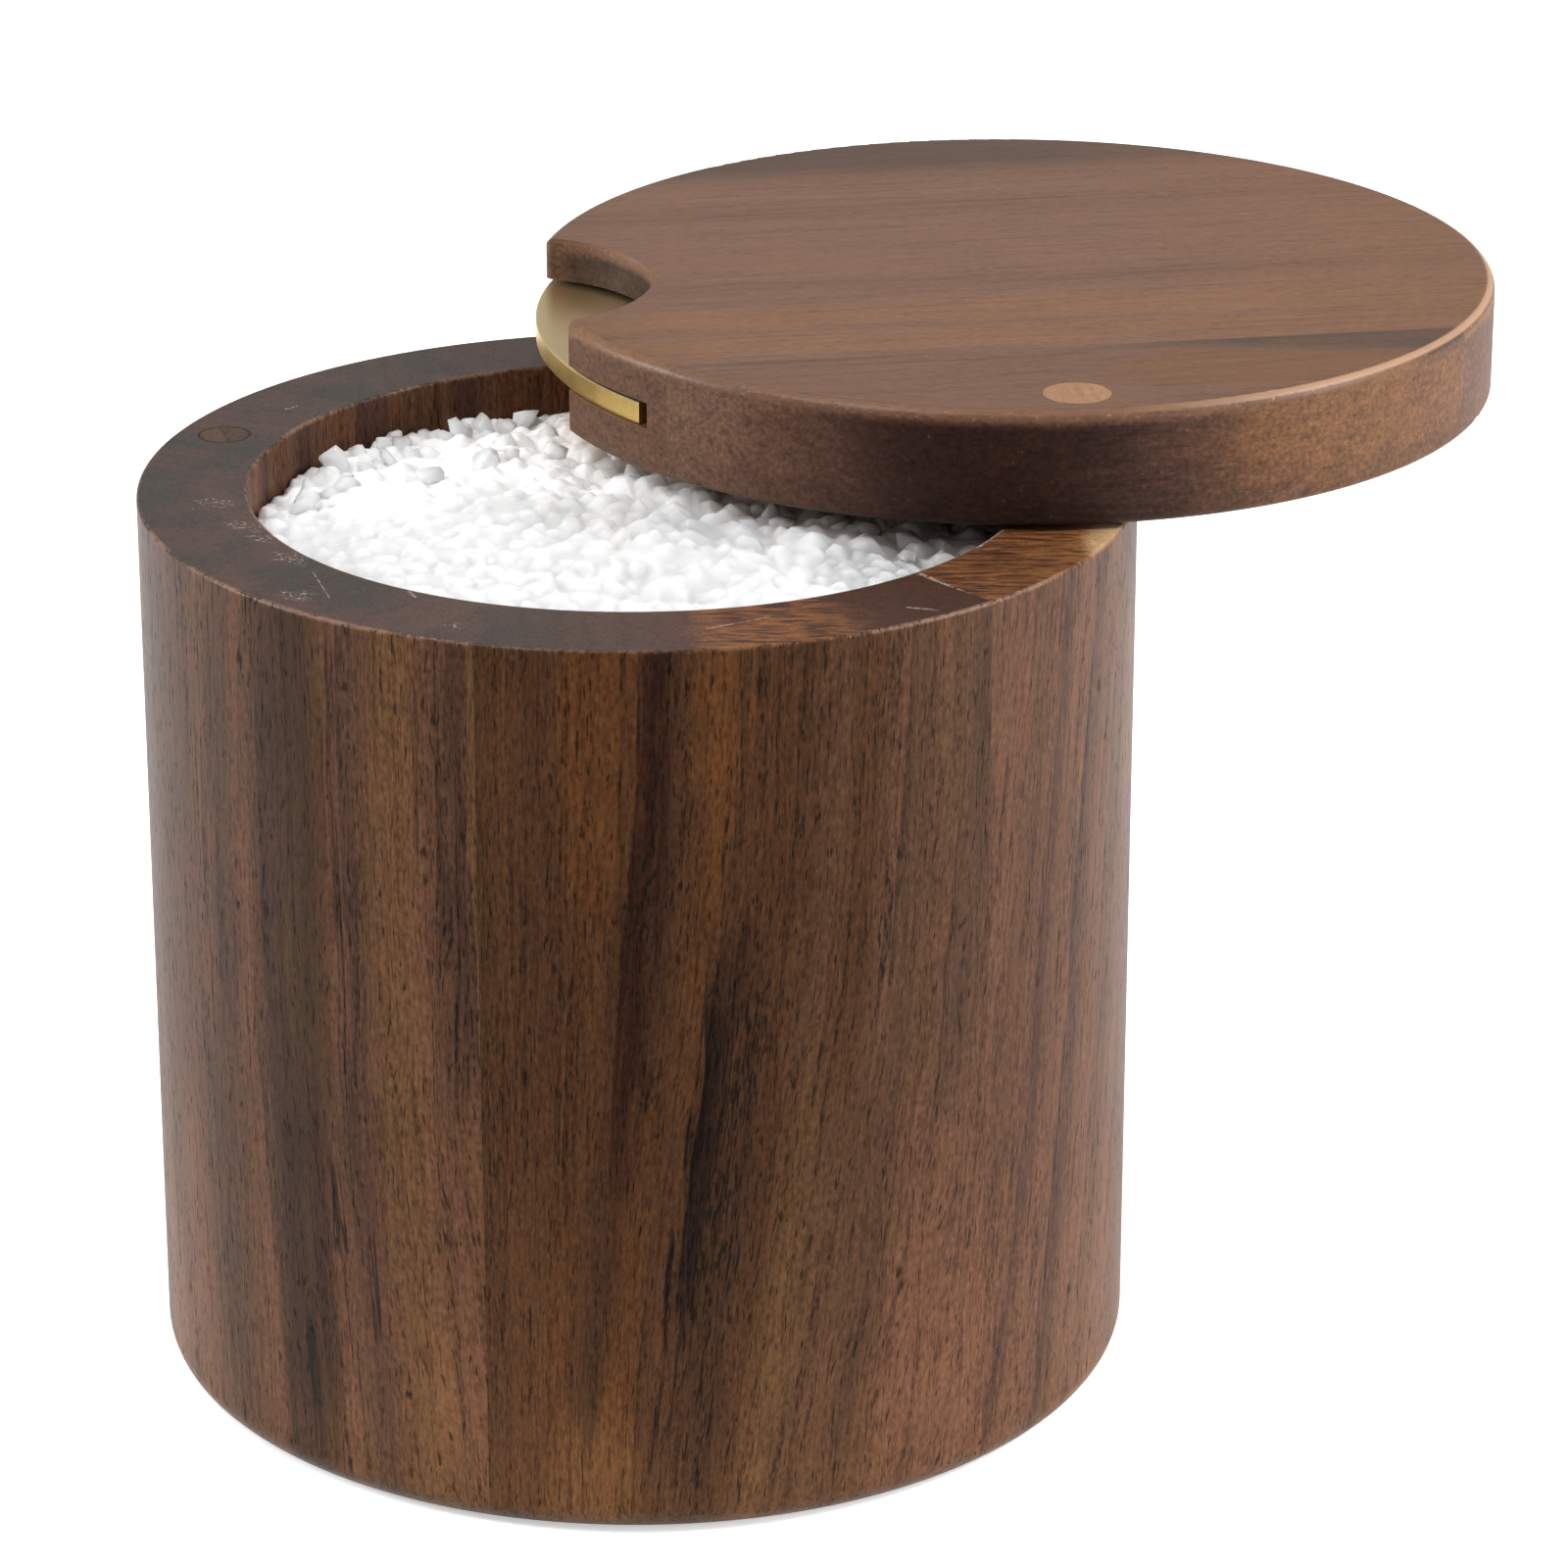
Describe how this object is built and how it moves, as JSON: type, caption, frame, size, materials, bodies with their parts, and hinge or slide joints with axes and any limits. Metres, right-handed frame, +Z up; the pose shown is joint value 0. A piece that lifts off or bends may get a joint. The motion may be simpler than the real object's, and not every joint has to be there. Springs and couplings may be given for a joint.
{
  "type": "salt box with swivel lid",
  "caption": "Round wooden salt box, filled with coarse salt, with a lid that swings sideways on an upright screw and a brass plate across its thumb notch.",
  "frame": {"origin": "centre of the underside of the body, on the plane that it stands on", "axes": "+Z up; +X from the body's axis to the lid's pivot; with the lid shut its thumb notch faces -Y"},
  "size_m": [0.143, 0.1564, 0.1151],
  "materials": {
    "walnut": "oiled satin, upright grain",
    "lid_walnut": "oiled satin",
    "brass": "brushed",
    "steel": "bright zinc",
    "nickel": "nickel plated",
    "salt": "coarse white crystals"
  },
  "bodies": {
    "body": {"stave_1": "walnut", "stave_2": "walnut", "stave_3": "walnut", "stave_4": "walnut", "stave_5": "walnut", "stave_6": "walnut", "floor_disc": "walnut", "salt_fill": "salt", "pivot_insert": "brass", "pivot_screw": "steel", "spacer_washer": "steel", "head_washer": "steel", "body_magnet": "nickel", "body_magnet_plug": "walnut"},
    "lid": {"lid_main_board": "lid_walnut", "lid_edge_board": "lid_walnut", "thumb_plate": "brass", "pivot_plug": "walnut", "lid_magnet": "nickel", "lid_magnet_plug": "walnut"}
  },
  "joints": [
    {"name": "lid_swing", "type": "hinge", "parent": "body", "child": "lid", "pos_m": [0.0489, 0, 0.1021], "axis": [0, 0, 1], "range_deg": [-289.3, 70.7]}
  ]
}
